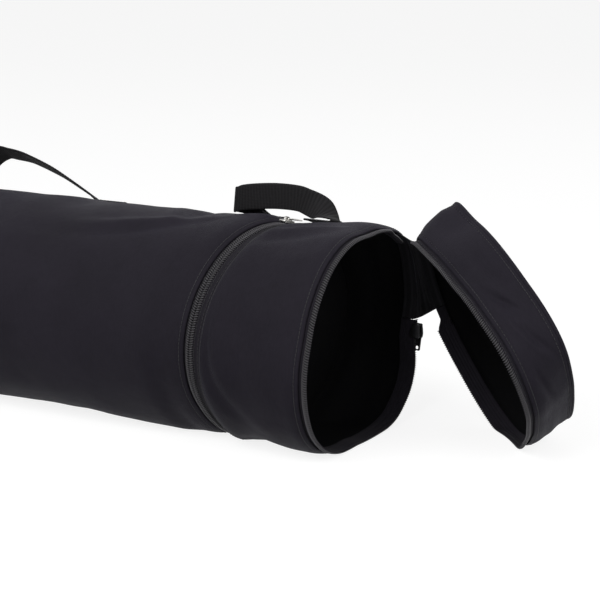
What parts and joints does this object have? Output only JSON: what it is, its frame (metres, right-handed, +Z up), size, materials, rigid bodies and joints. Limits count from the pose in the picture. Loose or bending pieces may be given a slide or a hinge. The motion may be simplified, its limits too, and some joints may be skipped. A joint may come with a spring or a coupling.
{
  "type": "gift bag storage organizer",
  "caption": "Long soft zipped tube bag for rolls of gift wrap, with a ribbon pocket and round lid at one end, a carry handle and a shoulder strap.",
  "frame": {"origin": "on the flat resting side, half way along the main sleeve", "axes": "+X along the tube towards the mouth and lid, +Z up"},
  "size_m": [1.0304, 0.2035, 0.1867],
  "materials": {
    "main_sleeve": "black plain weave polyester",
    "far_end_disc": "black plain weave polyester",
    "far_end_piping": "black plain weave polyester",
    "middle_zip_tape_main": "woven zip tape",
    "middle_zip_coil_main": "satin nylon coil",
    "middle_hinge_strip": "plain weave polyester",
    "carry_handle": "ribbed polyester webbing",
    "shoulder_strap": "ribbed polyester webbing",
    "pocket_sleeve": "black plain weave polyester",
    "pocket_base": "plain weave polyester",
    "middle_zip_tape_pocket": "woven zip tape",
    "middle_zip_coil_pocket": "satin nylon coil",
    "mouth_zip_tape": "woven zip tape",
    "mouth_zip_coil": "satin nylon coil",
    "lid_hinge_strip": "black plain weave polyester",
    "lid_wall": "black plain weave polyester",
    "lid_disc": "black plain weave polyester",
    "lid_piping": "black plain weave polyester",
    "lid_zip_tape": "woven zip tape",
    "lid_zip_coil": "satin nylon coil",
    "middle_zip_slider": "pale plated metal",
    "middle_zip_pull": "pale plated metal",
    "end_zip_slider": "pale plated metal",
    "end_zip_pull": "pale plated metal"
  },
  "bodies": {
    "main_bag": {"main_sleeve": "main_sleeve", "far_end_disc": "far_end_disc", "far_end_piping": "far_end_piping", "middle_zip_tape_main": "middle_zip_tape_main", "middle_zip_coil_main": "middle_zip_coil_main", "middle_hinge_strip": "middle_hinge_strip", "carry_handle": "carry_handle", "shoulder_strap": "shoulder_strap"},
    "end_pocket": {"pocket_sleeve": "pocket_sleeve", "pocket_base": "pocket_base", "middle_zip_tape_pocket": "middle_zip_tape_pocket", "middle_zip_coil_pocket": "middle_zip_coil_pocket", "mouth_zip_tape": "mouth_zip_tape", "mouth_zip_coil": "mouth_zip_coil", "lid_hinge_strip": "lid_hinge_strip"},
    "lid": {"lid_wall": "lid_wall", "lid_disc": "lid_disc", "lid_piping": "lid_piping", "lid_zip_tape": "lid_zip_tape", "lid_zip_coil": "lid_zip_coil"},
    "middle_slider": {"middle_zip_slider": "middle_zip_slider"},
    "middle_pull": {"middle_zip_pull": "middle_zip_pull"},
    "end_slider": {"end_zip_slider": "end_zip_slider"},
    "end_pull": {"end_zip_pull": "end_zip_pull"}
  },
  "joints": [
    {"name": "pocket_swing", "type": "hinge", "parent": "main_bag", "child": "end_pocket", "pos_m": [0.41403, 0.05107, 0.13042], "axis": [-0.0847, -0.7051, 0.704], "range_deg": [0, 100], "deforming": ["middle_hinge_strip", "carry_handle"]},
    {"name": "lid_swing", "type": "hinge", "parent": "end_pocket", "child": "lid", "pos_m": [0.48652, 0.06842, 0.11242], "axis": [0.3302, -0.4367, 0.8368], "range_deg": [-55, 60], "deforming": ["lid_hinge_strip"]},
    {"name": "middle_slider_travel", "type": "hinge", "parent": "main_bag", "child": "middle_slider", "pos_m": [0.3993, 0, 0.0775], "axis": [0.9769, -0.198, -0.0808], "range_deg": [0, 295]},
    {"name": "middle_pull_swivel", "type": "hinge", "parent": "middle_slider", "child": "middle_pull", "pos_m": [0.40887, 0.01558, 0.15507], "axis": [0.9769, -0.198, -0.0808], "range_deg": [0, 160]},
    {"name": "end_slider_travel", "type": "hinge", "parent": "end_pocket", "child": "end_slider", "pos_m": [0.482, 0, 0.0785], "axis": [0.9974, -0.0349, -0.0624], "range_deg": [-292, 0]},
    {"name": "end_pull_swivel", "type": "hinge", "parent": "end_slider", "child": "end_pull", "pos_m": [0.48417, 0.07985, 0.06853], "axis": [0.9974, -0.0349, -0.0624], "range_deg": [0, 160]}
  ],
  "couplings": [
    {"joint": "middle_slider_travel", "follows": "pocket_swing", "ratio": 2.95}
  ]
}
